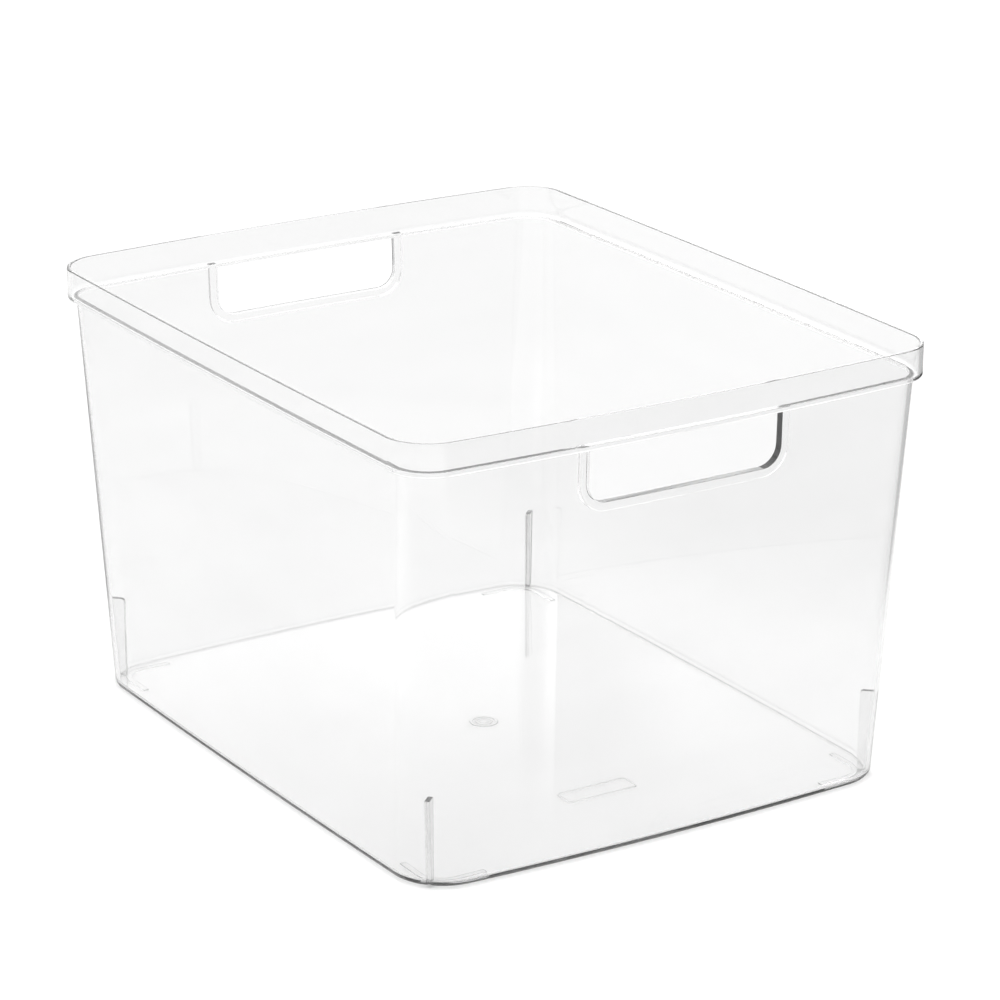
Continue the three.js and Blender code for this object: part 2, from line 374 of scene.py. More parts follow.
@dataclass(frozen=True)
class Plan:
    """A plan outline with bowed sides and round corners: eight arcs that touch."""

    width: float
    depth: float
    corner_radius: float
    end_bow: float = 0.0046
    side_bow: float = 0.00165
    end_steps: int = 28
    side_steps: int = 32
    corner_steps: int = 18

    @property
    def end_radius(self) -> float:
        """Radius of the bowed ends."""
        half_chord = self.width / 2 - self.side_bow
        return (half_chord**2 + self.end_bow**2) / (2 * self.end_bow)

    @property
    def side_radius(self) -> float:
        """Radius of the bowed sides."""
        half_chord = self.depth / 2 - self.end_bow
        return (half_chord**2 + self.side_bow**2) / (2 * self.side_bow)

    @property
    def end_centre(self) -> Vector:
        """Centre of the back end's arc."""
        return Vector((0.0, self.depth / 2 - self.end_radius))

    @property
    def side_centre(self) -> Vector:
        """Centre of the right side's arc."""
        return Vector((self.width / 2 - self.side_radius, 0.0))

    @property
    def corner_centre(self) -> Vector:
        """Find the centre of the back right corner's arc.

        Returns:
            Where an arc of the corner's radius touches the end's arc and the side's.
        """
        from_end = self.end_radius - self.corner_radius
        from_side = self.side_radius - self.corner_radius
        apart = self.side_centre - self.end_centre
        along = (apart.length_squared + from_end**2 - from_side**2) / (2 * apart.length)
        across = math.sqrt(from_end**2 - along**2)
        direction = apart.normalized()
        sideways = Vector((direction.y, -direction.x))
        return self.end_centre + direction * along + sideways * across

    @staticmethod
    def _bearing(start: Vector, end: Vector) -> float:
        """The direction from one point to another, as an angle."""
        return math.atan2(end.y - start.y, end.x - start.x)

    def end_distance(self, x: float, inset: float) -> float:
        """Find how far the end's outline lies from the middle.

        Args:
            x: The place across the end.
            inset: How far inside the plan the outline runs.

        Returns:
            The outline's Y at the back end.
        """
        return self.end_centre.y + math.sqrt((self.end_radius - inset) ** 2 - x**2)

    def front_arc(self, inset: float, half_span: float) -> Arc:
        """Take the middle of the front end's outline.

        Args:
            inset: How far inside the plan the outline runs.
            half_span: How far the stretch reaches to each side.

        Returns:
            The stretch, from left to right.
        """
        radius = self.end_radius - inset
        reach = math.asin(half_span / radius)
        centre = (0.0, -self.end_centre.y)
        return Arc(centre, radius, -math.pi / 2 - reach, 2 * reach, self.end_steps)

    def arcs(self, inset: float) -> list[Arc]:
        """List the outline's arcs.

        Args:
            inset: How far inside the plan the outline runs.

        Returns:
            Eight arcs, counter-clockwise from the left of the front end.
        """
        end, side, corner = self.end_centre, self.side_centre, self.corner_centre
        end_angle = self._bearing(end, corner)
        side_angle = self._bearing(side, corner)
        turn = end_angle - side_angle
        across = math.pi - 2 * end_angle
        end_radius = self.end_radius - inset
        side_radius = self.side_radius - inset
        corner_radius = self.corner_radius - inset
        half_turn = math.pi
        half_outline = [
            Arc((0.0, -end.y), end_radius, end_angle - half_turn, across, self.end_steps),
            Arc((corner.x, -corner.y), corner_radius, -end_angle, turn, self.corner_steps),
            Arc((side.x, 0.0), side_radius, -side_angle, 2 * side_angle, self.side_steps),
            Arc((corner.x, corner.y), corner_radius, side_angle, turn, self.corner_steps),
        ]
        other_half = [
            Arc((-arc.centre[0], -arc.centre[1]), arc.radius, arc.start + half_turn, arc.sweep, arc.steps)
            for arc in half_outline
        ]
        return half_outline + other_half

    def trace(self, inset: float, height: float) -> None:
        """Draw the closed outline in edit mode, and leave it selected.

        Args:
            inset: How far inside the plan the outline runs.
            height: The level that it lies on.
        """
        arcs = self.arcs(inset)
        drop_point(arcs[0].begin(height))
        for arc in arcs:
            arc.spin(height)
        bpy.ops.mesh.select_linked()
        bpy.ops.mesh.remove_doubles(threshold=MERGE_DISTANCE)


@dataclass(frozen=True)
class Ring:
    """A closed line round the shell, and how its edge is rounded."""

    name: str
    plan: Plan
    inset: float
    height: float
    radius: float
    segments: int


@dataclass
class HandHold:
    """The slots in the end walls and the flat borders raised round them."""

    width: float = 0.1042
    height: float = 0.0261
    corner_radius: float = 0.0095
    corner_segments: int = 10
    border: float = 0.0044
    proud: float = 0.0024
    edge_radius: float = 0.0003
    edge_segments: int = 3
    draft: float = 0.00022
    slot_radius: float = 0.0003
    lip: float = 0.00005
    bury: float = 0.0006

    def bar(
        self, name: str, half_width: float, bottom: float, top: float, radius: float
    ) -> bpy.types.Object:
        """Make a bar through both end walls, round along its lower edges.

        Args:
            name: The bar's name.
            half_width: Half the bar's width.
            bottom: The bar's lowest level.
            top: The bar's highest level.
            radius: The radius along the lower edges.

        Returns:
            The bar, which carves the walls or the borders.
        """
        length = 2 * (CAD_BOX[1].y - CAD_BOX[0].y)
        middle = (0.0, 0.0, (bottom + top) / 2)
        size = (2 * half_width, length, top - bottom)
        bpy.ops.object.select_all(action="DESELECT")
        bpy.ops.mesh.primitive_cube_add(size=1.0, location=middle, scale=size)
        bar = named(name)
        settle(bar)
        with editing(bar):
            pick_edges(bar, lambda a, b: max(a.z, b.z) < middle[2] and abs(a.y - b.y) > half_width)
            bpy.ops.mesh.bevel(offset=radius, segments=self.corner_segments, affect="EDGES")
            close_up()
        return bar

    def slab(self, shell: "MouldedShell") -> bpy.types.Object:
        """Make the front border's slab, before the slot is cut through it.

        Args:
            shell: The shell that the border stands on.

        Returns:
            A slab with the border's outline, sunk a little into the wall and the ledge.
        """
        half_span = self.width / 2 + 2 * self.border
        top = shell.ledge_bottom + self.bury
        corners = [
            (shell.base, -self.proud, shell.floor_bottom),
            (shell.rim, shell.ledge_step - self.proud, top),
            (shell.rim, shell.ledge_step + self.bury, top),
            (shell.base, self.bury, shell.floor_bottom),
        ]
        bpy.ops.object.select_all(action="DESELECT")
        bpy.ops.mesh.primitive_plane_add(size=1.0)
        slab = named("handle_border_front")
        names = [f"edge_{index}" for index in range(len(corners))]
        with editing(slab):
            bpy.ops.mesh.select_all(action="SELECT")
            bpy.ops.mesh.delete(type="VERT")
            for name, (plan, inset, height) in zip(names, corners):
                arc = plan.front_arc(inset, half_span)
                drop_point(arc.begin(height))
                arc.spin(height)
                bpy.ops.mesh.select_linked()
                slab.vertex_groups.active = slab.vertex_groups.new(name=name)
                bpy.ops.object.vertex_group_assign()
            for name, following in zip(names, names[1:] + names[:1]):
                pick_groups(slab, name, following)
                bpy.ops.mesh.bridge_edge_loops()
            for side in (-1, 1):
                pick_points(slab, lambda place: side * place.x > half_span - self.bury)
                bpy.ops.mesh.edge_face_add()
            close_up()
        outline = self.bar(
            "border_outline",
            half_width=self.width / 2 + self.border,
            bottom=shell.ledge_bottom - self.height - self.border,
            top=top + self.border,
            radius=self.corner_radius + self.border,
        )
        carve(slab, outline, Carve.KEEP)
        self.round_border(slab, shell)
        return slab

    def round_border(self, slab: bpy.types.Object, shell: "MouldedShell") -> None:
        """Slant the border's sides and round the outline of its outer face.

        Args:
            slab: The border's slab, at the front.
            shell: The shell that it stands on.
        """

        def outside(place: Vector) -> bool:
            """Say whether a point lies on the border's outer face."""
            return shell.wall_stand_off(place) > self.proud - self.lip

        def on_outline(a: Vector, b: Vector) -> bool:
            """Say whether an edge belongs to the outer face's outline, below its top."""
            below = min(a.z, b.z) < shell.ledge_bottom
            return below and outside(a) and outside(b)

        half_width = self.width / 2 + self.border
        narrow = (1 - self.draft / half_width, 1.0, 1 - self.draft / (self.height + self.border))
        with editing(slab):
            bpy.ops.mesh.select_all(action="SELECT")
            bpy.ops.mesh.dissolve_limited(angle_limit=FLAT_ANGLE)
            pick_points(slab, outside)
            bpy.ops.transform.resize(value=narrow, center_override=(0.0, 0.0, shell.ledge_bottom))
            bpy.ops.mesh.select_mode(type="EDGE")
            bpy.ops.mesh.select_all(action="DESELECT")
            bpy.ops.mesh.edges_select_sharp(sharpness=SMOOTH_ANGLE)
            bpy.ops.object.mode_set(mode="OBJECT")
            points = slab.data.vertices
            for edge in slab.data.edges:
                first, second = edge.vertices
                edge.select = edge.select and on_outline(points[first].co, points[second].co)
            bpy.ops.object.mode_set(mode="EDIT")
            bpy.ops.mesh.bevel(offset=self.edge_radius, segments=self.edge_segments, affect="EDGES")
            close_up()

    def round_slots(self, piece: bpy.types.Object, shell: "MouldedShell") -> None:
        """Round the edges of the cut slots, outside and inside.

        Args:
            piece: The shell's mesh.
            shell: The shell's sizes.
        """
        arc_x = self.width / 2 - self.corner_radius
        arc_z = shell.ledge_bottom - self.height + self.corner_radius
        top = shell.ledge_bottom - self.lip

        def on_profile(place: Vector) -> bool:
            """Test a point of the shell.

            Args:
                place: The point.

            Returns:
                Whether it lies on the slot's outline, seen from the front.
            """
            across = max(abs(place.x) - arc_x, 0.0)
            down = max(arc_z - place.z, 0.0)
            off = abs(math.hypot(across, down) - self.corner_radius)
            return place.z < top + self.lip and off < self.lip

        def along_profile(a: Vector, b: Vector) -> bool:
            """Test an edge of the shell.

            Args:
                a: One end of the edge.
                b: The other end.

            Returns:
                Whether it runs along the slot's outline, and not through the wall.
            """
            through = abs(a.y - b.y) > (a - b).length / 2
            level_top = min(a.z, b.z) > top - self.lip
            return on_profile(a) and on_profile(b) and not through and not level_top

        with editing(piece):
            pick_edges(piece, along_profile)
            bpy.ops.mesh.bevel(offset=self.slot_radius, segments=self.edge_segments, affect="EDGES")
            close_up()


@dataclass
class MouldedShell:
    """Floor, walls, ledge, rim and hand-hold borders: the one continuous skin of the bin."""

    rim: Plan
    base: Plan
    floor_bottom: float
    floor_top: float
    ledge_bottom: float
    ledge_top: float
    rim_top: float
    ledge_step: float
    wall: float
    base_edge_radius: float = 0.0025
    floor_fillet: float = 0.002
    ledge_fillet: float = 0.0005
    rim_edge_radius: float = 0.0015
    rim_top_radius: float = 0.00065
    seat_fillet: float = 0.0006
    seat_edge_radius: float = 0.00025
    draft: float = 0.00005
    edge_segments: int = 4
    step_segments: int = 3
    floor_segments: int = 6

    nodes: ClassVar[list[str]] = (
        "floor_panel front_wall back_wall left_wall right_wall stacking_ledge"
        " rim_front rim_back rim_left rim_right handle_surround_front handle_surround_back"
    ).split()

    @classmethod
    def from_frame(cls, rim_corner: float = 0.0217, base_corner: float = 0.027) -> "MouldedShell":
        """Read the shell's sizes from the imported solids.

        Args:
            rim_corner: The rim's corner radius, which no box shows.
            base_corner: The floor's corner radius, which no box shows.

        Returns:
            A shell of the solids' size.
        """
        low, high = CAD_BOX
        floor_low, floor_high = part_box("floor_panel")
        ledge_low, ledge_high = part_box("stacking_ledge")
        wall_low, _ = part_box("left_wall")
        base_size = floor_high - floor_low
        return cls(
            rim=Plan(high.x - low.x, high.y - low.y, rim_corner),
            base=Plan(base_size.x, base_size.y, base_corner),
            floor_bottom=floor_low.z,
            floor_top=floor_high.z,
            ledge_bottom=ledge_low.z,
            ledge_top=ledge_high.z,
            rim_top=high.z,
            ledge_step=wall_low.x - low.x,
            wall=ledge_low.x - low.x,
        )

    def wall_stand_off(self, place: Vector) -> float:
        """Find how far a point stands out from the front wall.

        Args:
            place: A point near the front wall.

        Returns:
            Its distance along -Y from the wall's outer face.
        """
        low = self.base.end_distance(place.x, 0.0)
        high = self.rim.end_distance(place.x, self.ledge_step)
        share = (place.z - self.floor_bottom) / (self.ledge_bottom - self.floor_bottom)
        return -place.y - (low + (high - low) * share)

    def rings(self) -> list[Ring]:
        """List the rings that the skin is bridged between.

        Returns:
            The rings from the underside's edge, up the outside and down the inside to the floor.
        """
        rim, base, step, wall, draft = self.rim, self.base, self.ledge_step, self.wall, self.draft
        edge, fillet = self.edge_segments, self.step_segments
        return [
            Ring("base_edge", base, 0.0, self.floor_bottom, self.base_edge_radius, edge),
            Ring("wall_top", rim, step, self.ledge_bottom, self.ledge_fillet, fillet),
            Ring("rim_foot", rim, 0.0, self.ledge_bottom - draft, self.rim_edge_radius, edge),
            Ring("rim_outside", rim, 0.0, self.rim_top, self.rim_top_radius, edge),
            Ring("rim_inside", rim, wall, self.rim_top - draft, self.rim_top_radius, edge),
            Ring("seat_back", rim, wall, self.ledge_top, self.seat_fillet, fillet),
            Ring("seat_front", rim, step + wall, self.ledge_top - draft, self.seat_edge_radius, edge),
            Ring("floor_edge", base, wall, self.floor_top, self.floor_fillet, self.floor_segments),
        ]

    def skin(self) -> bpy.types.Object:
        """Bridge the rings into a closed skin and round its edges.

        Returns:
            The bin without its hand-holds.
        """
        rings = self.rings()
        bpy.ops.object.select_all(action="DESELECT")
        bpy.ops.mesh.primitive_plane_add(size=1.0)
        shell = named("bin_shell")
        with editing(shell):
            bpy.ops.mesh.select_all(action="SELECT")
            bpy.ops.mesh.delete(type="VERT")
            for ring in rings:
                ring.plan.trace(ring.inset, ring.height)
                shell.vertex_groups.active = shell.vertex_groups.new(name=ring.name)
                bpy.ops.object.vertex_group_assign()
            for lower, upper in zip(rings, rings[1:]):
                pick_groups(shell, lower.name, upper.name)
                bpy.ops.mesh.bridge_edge_loops()
            for ring in (rings[0], rings[-1]):
                pick_groups(shell, ring.name)
                bpy.ops.mesh.edge_face_add()
            close_up()
            for ring in rings:
                pick_groups(shell, ring.name)
                bpy.ops.mesh.bevel(offset=ring.radius, segments=ring.segments, affect="EDGES")
        return shell

    def build(self, hold: HandHold) -> bpy.types.Object:
        """Make the whole shell.

        Args:
            hold: The hand-holds to cut and frame.

        Returns:
            The finished shell.
        """
        shell = self.skin()
        front = hold.slab(self)
        back = copied(front, "handle_border_back", -1, -1)
        for border in (front, back):
            carve(shell, border, Carve.JOIN)
        slot = hold.bar(
            "slot",
            half_width=hold.width / 2,
            bottom=self.ledge_bottom - hold.height,
            top=self.ledge_bottom - hold.lip,
            radius=hold.corner_radius,
        )
        carve(shell, slot, Carve.CUT)
        hold.round_slots(shell, self)
        return shell

    def replaced(self) -> list[str]:
        """List the CAD nodes that the shell stands for.

        Returns:
            The nodes' names.
        """
        corners = [f"{part}_{corner.place}" for part in ("corner", "rim_corner") for corner in Corner]
        return [*self.nodes, *corners]


@dataclass
class CornerFin:
    """An upright fin across the inside of a corner, with a plumb inner edge."""

    thickness: float = 0.0024
    low_reach: float = 0.0042
    clearance: float = 0.0003
    top_radius: float = 0.0018
    top_segments: int = 6
    edge_radius: float = 0.00025
    edge_segments: int = 2
    bury: float = 0.0006

    def build(self) -> bpy.types.Object:
        """Make the front left fin, where its CAD node stands.

        Returns:
            The fin.
        """
        low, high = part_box("fin_front_left")
        half_across = DIAGONAL * self.thickness / 2
        plumb = Vector((high.x - half_across, high.y - half_across, 0.0))
        high_reach = (plumb.x - low.x - half_across) / DIAGONAL + self.clearance + self.bury
        low_reach = self.low_reach + self.bury
        bottom = low.z - self.bury
        size = (low_reach, self.thickness, high.z - bottom)
        middle = (low_reach / 2, 0.0, (bottom + high.z) / 2)
        bpy.ops.object.select_all(action="DESELECT")
        bpy.ops.mesh.primitive_cube_add(size=1.0, location=middle, scale=size)
        fin = named("corner_fin_front_left")
        settle(fin)
        with editing(fin):
            pick_points(fin, lambda place: place.x > middle[0] and place.z > middle[2])
            bpy.ops.transform.translate(value=(high_reach - low_reach, 0.0, 0.0))
            pick_edges(fin, lambda a, b: max(a.x, b.x) < middle[0] and min(a.z, b.z) > middle[2])
            bpy.ops.mesh.bevel(offset=self.top_radius, segments=self.top_segments, affect="EDGES")
            close_up()
        soften(fin, self.edge_radius, self.edge_segments)
        fin.rotation_euler.z = FRONT_LEFT_BEARING
        fin.location = plumb
        settle(fin)
        return fin


@dataclass
class FootRunner:
    """An L-shaped runner under a corner of the floor."""

    width: float = 0.003
    bend_radius: float = 0.013
    bend_steps: int = 12
    edge_radius: float = 0.0002
    edge_segments: int = 2
    bury: float = 0.0003

    def build(self) -> bpy.types.Object:
        """Make the front right runner, where its CAD node lies.

        Returns:
            The runner.
        """
        low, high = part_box("foot_front_right")
        straight = high.x - low.x - self.bend_radius
        middle = (low.x + straight / 2, low.y + self.width / 2, low.z)
        bend = (high.x - self.bend_radius, low.y + self.bend_radius, low.z)
        bpy.ops.object.select_all(action="DESELECT")
        bpy.ops.mesh.primitive_plane_add(size=1.0, location=middle)
        foot = named("foot_runner_front_right")
        foot.scale = (straight, self.width, 1.0)
        settle(foot)
        with editing(foot):
            pick_edges(foot, lambda a, b: min(a.x, b.x) > middle[0])
            bpy.ops.mesh.spin(steps=self.bend_steps, angle=-math.pi / 2, center=bend, axis=UP)
            bpy.ops.mesh.extrude_region_move(TRANSFORM_OT_translate={"value": (0.0, straight, 0.0)})
            bpy.ops.mesh.select_all(action="SELECT")
            rise = high.z - low.z + self.bury
            bpy.ops.mesh.extrude_region_move(TRANSFORM_OT_translate={"value": (0.0, 0.0, rise)})
            close_up()
        soften(foot, self.edge_radius, self.edge_segments)
        return foot


@dataclass
class FloorMarks:
    """The gate's rings and the outline of the bare panel under the floor."""

    gate_points: int = 64
    ring_width: float = 0.0016
    ring_scales: tuple[float, ...] = (1.0, 0.62, 0.34)
    ring_edge_radius: float = 0.00024
    ring_edge_segments: int = 4
    panel_corner: float = 0.0025
    panel_segments: int = 6
    panel_border: float = 0.0008
    edge_radius: float = 0.0001
    edge_segments: int = 2
    bury: float = 0.0003

    def _hollow(self, width: float) -> None:
        """Leave only a border of the selected face, in edit mode.

        Args:
            width: The border's width.
        """
        bpy.ops.mesh.select_mode(type="FACE")
        bpy.ops.mesh.inset(thickness=width)
        bpy.ops.mesh.delete(type="FACE")

    def _thicken(self, rise: float) -> None:
        """Raise the sheet in edit mode into a closed ridge, sunk into the floor.

        Args:
            rise: How far its top lies above its underside.
        """
        bpy.ops.mesh.select_all(action="SELECT")
        bpy.ops.mesh.extrude_region_move(TRANSFORM_OT_translate={"value": (0.0, 0.0, rise)})
        close_up()

    def gate(self) -> bpy.types.Object:
        """Make the round mark of the gate: rings within rings.

        Returns:
            The finished mark.
        """
        low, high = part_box("gate_mark")
        radius = (high.x - low.x) / 2
        middle = (0.0, 0.0, low.z)
        bpy.ops.object.select_all(action="DESELECT")
        bpy.ops.mesh.primitive_circle_add(
            vertices=self.gate_points, radius=radius, fill_type="NGON", location=middle
        )
        gate = named("gate_ripple")
        settle(gate)
        with editing(gate):
            bpy.ops.mesh.select_all(action="SELECT")
            self._hollow(self.ring_width)
            bpy.ops.mesh.select_all(action="SELECT")
            for before, scale in zip(self.ring_scales, self.ring_scales[1:]):
                bpy.ops.mesh.duplicate()
                share = scale / before
                bpy.ops.transform.resize(value=(share, share, 1.0), center_override=middle)
            self._thicken(high.z - low.z + self.bury)
        soften(gate, self.ring_edge_radius, self.ring_edge_segments)
        return gate

    def panel(self) -> bpy.types.Object:
        """Make the bare panel's raised outline.

        Returns:
            The finished panel.
        """
        low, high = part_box("label_panel")
        middle = ((low.x + high.x) / 2, (low.y + high.y) / 2, low.z)
        bpy.ops.object.select_all(action="DESELECT")
        bpy.ops.mesh.primitive_plane_add(size=1.0, location=middle)
        panel = named("label_panel_bare")
        panel.scale = (high.x - low.x, high.y - low.y, 1.0)
        settle(panel)
        with editing(panel):
            bpy.ops.mesh.select_all(action="SELECT")
            bpy.ops.mesh.bevel(offset=self.panel_corner, segments=self.panel_segments, affect="VERTICES")
            bpy.ops.mesh.select_all(action="SELECT")
            self._hollow(self.panel_border)
            self._thicken(high.z - low.z + self.bury)
        soften(panel, self.edge_radius, self.edge_segments)
        return panel


@dataclass(frozen=True)
class ClearFinish:
    """Clear plastic: its clarity, polish, the waves that the mould left in it and a painted glow inside
    it.
    """

    name: str
    slot: Slot = Slot.CLEAR
    clear: tuple[float, float, float] = (1.0, 1.0, 1.0)
    dim: tuple[float, float, float] = (0.98, 0.98, 0.98)
    polish: float = 0.0
    scuff: float = 0.0
    wave_size: float = 0.05
    wave_height: float = 0.000006
    absorption: float = 7.0
    # Painted glow: the plastic's inside emits light in step with its absorption, in place of light
    # scattered in it
    glow: float = 0.05
    refraction: float = 1.53

    def material(self, flow: bpy.types.NodeTree) -> bpy.types.Material:
        """Make the material.

        Args:
            flow: The node group of the mould's flow.

        Returns:
            The finished material.
        """
        material = bpy.data.materials.new(self.name)
        material.use_nodes = True
        nodes, links = material.node_tree.nodes, material.node_tree.links
        nodes.clear()
        output = nodes.new("ShaderNodeOutputMaterial")
        plastic = nodes.new("ShaderNodeBsdfPrincipled")
        plastic.inputs["Transmission Weight"].default_value = 1.0
        plastic.inputs["IOR"].default_value = self.refraction
        plastic.inputs["Roughness"].default_value = self.polish
        marks = nodes.new("ShaderNodeGroup")
        marks.node_tree = flow
        marks.inputs["Wave Size"].default_value = self.wave_size
        tint = nodes.new("ShaderNodeMix")
        tint.data_type = "RGBA"
        tint.inputs["A"].default_value = (*self.clear, 1.0)
        tint.inputs["B"].default_value = (*self.dim, 1.0)
        if self.scuff > self.polish:
            gloss = nodes.new("ShaderNodeMapRange")
            gloss.inputs["To Min"].default_value = self.polish
            gloss.inputs["To Max"].default_value = self.scuff
            links.new(marks.outputs["Scuff"], gloss.inputs["Value"])
            links.new(gloss.outputs["Result"], plastic.inputs["Roughness"])
        depth = nodes.new("ShaderNodeVolumeAbsorption")
        depth.inputs["Color"].default_value = (0.0, 0.0, 0.0, 1.0)
        depth.inputs["Density"].default_value = self.absorption
        # Painted glow inside the plastic, standing in for scattered light
        painted_glow = nodes.new("ShaderNodeEmission")
        painted_glow.inputs["Strength"].default_value = self.absorption * self.glow
        inner = nodes.new("ShaderNodeAddShader")
        bump = nodes.new("ShaderNodeBump")
        bump.inputs["Strength"].default_value = 1.0
        bump.inputs["Distance"].default_value = self.wave_height
        links.new(marks.outputs["Haze"], tint.inputs["Factor"])
        links.new(tint.outputs["Result"], plastic.inputs["Base Color"])
        links.new(marks.outputs["Wave"], bump.inputs["Height"])
        links.new(bump.outputs["Normal"], plastic.inputs["Normal"])
        links.new(plastic.outputs["BSDF"], output.inputs["Surface"])
        links.new(depth.outputs["Volume"], inner.inputs[0])
        links.new(painted_glow.outputs["Emission"], inner.inputs[1])
        links.new(inner.outputs["Shader"], output.inputs["Volume"])
        return material


@dataclass(frozen=True)
class MouldFlow:
    """What a mould leaves in clear plastic: slow waves, a cloudy haze and sparse scuffs."""

    wave_detail: float = 1.0
    haze_scale: float = 11.0
    haze_detail: float = 4.0
    haze_layers: float = 4.0
    haze_range: tuple[float, float] = (0.3, 0.7)
    scuff_scale: float = 240.0
    scuff_detail: float = 6.0
    scuff_range: tuple[float, float] = (0.55, 0.8)

    @staticmethod
    def _noise(
        group: bpy.types.NodeTree, place: bpy.types.NodeSocket, detail: float
    ) -> bpy.types.ShaderNode:
        """Add a noise to the group.

        Args:
            group: The node group.
            place: Where the noise is looked up.
            detail: The noise's octaves.

        Returns:
            The noise's node.
        """
        noise = group.nodes.new("ShaderNodeTexNoise")
        noise.inputs["Detail"].default_value = detail
        group.links.new(place, noise.inputs["Vector"])
        return noise

    @staticmethod
    def _spread(
        group: bpy.types.NodeTree, noise: bpy.types.ShaderNode, limits: tuple[float, float]
    ) -> bpy.types.NodeSocket:
        """Spread part of a noise over the range from 0 to 1.

        Args:
            group: The node group.
            noise: The noise's node.
            limits: The noise values that become 0 and 1.

        Returns:
            The spread value.
        """
        spread = group.nodes.new("ShaderNodeMapRange")
        spread.inputs["From Min"].default_value, spread.inputs["From Max"].default_value = limits
        group.links.new(noise.outputs["Fac"], spread.inputs["Value"])
        return spread.outputs["Result"]

    def group(self) -> bpy.types.NodeTree:
        """Build the node group.

        Returns:
            A group with a wave for the surface, a haze for the colour and scuffs for the gloss.
        """
        group = bpy.data.node_groups.new("mould_flow", "ShaderNodeTree")
        group.interface.new_socket("Wave Size", in_out="INPUT", socket_type="NodeSocketFloat")
        for name in ("Wave", "Haze", "Scuff"):
            group.interface.new_socket(name, in_out="OUTPUT", socket_type="NodeSocketFloat")
        nodes, links = group.nodes, group.links
        given = nodes.new("NodeGroupInput")
        put_out = nodes.new("NodeGroupOutput")
        place = nodes.new("ShaderNodeTexCoord").outputs["Object"]
        per_metre = nodes.new("ShaderNodeMath")
        per_metre.operation = "DIVIDE"
        per_metre.inputs[0].default_value = 1.0
        wave = self._noise(group, place, self.wave_detail)
        layers = nodes.new("ShaderNodeMapping")
        layers.inputs["Scale"].default_value = (1.0, 1.0, self.haze_layers)
        haze = self._noise(group, layers.outputs["Vector"], self.haze_detail)
        haze.inputs["Scale"].default_value = self.haze_scale
        scuff = self._noise(group, place, self.scuff_detail)
        scuff.inputs["Scale"].default_value = self.scuff_scale
        links.new(given.outputs["Wave Size"], per_metre.inputs[1])
        links.new(per_metre.outputs["Value"], wave.inputs["Scale"])
        links.new(place, layers.inputs["Vector"])
        links.new(wave.outputs["Fac"], put_out.inputs["Wave"])
        links.new(self._spread(group, haze, self.haze_range), put_out.inputs["Haze"])
        links.new(self._spread(group, scuff, self.scuff_range), put_out.inputs["Scuff"])
        return group


@dataclass(frozen=True)
class SkyPanel:
    """A bright panel low in the sky, ahead of the camera.

    Its ranges are parts of a unit direction, to the camera's right and up, and it fades out beyond them.
    """

    strength: float
    side: tuple[float, float] = (-1.0, 1.0)
    rise: tuple[float, float] = (-1.0, 0.345)
    side_fade: float = 0.02
    rise_fade: float = 0.07
    ahead: tuple[float, float] = (-0.1, 0.1)


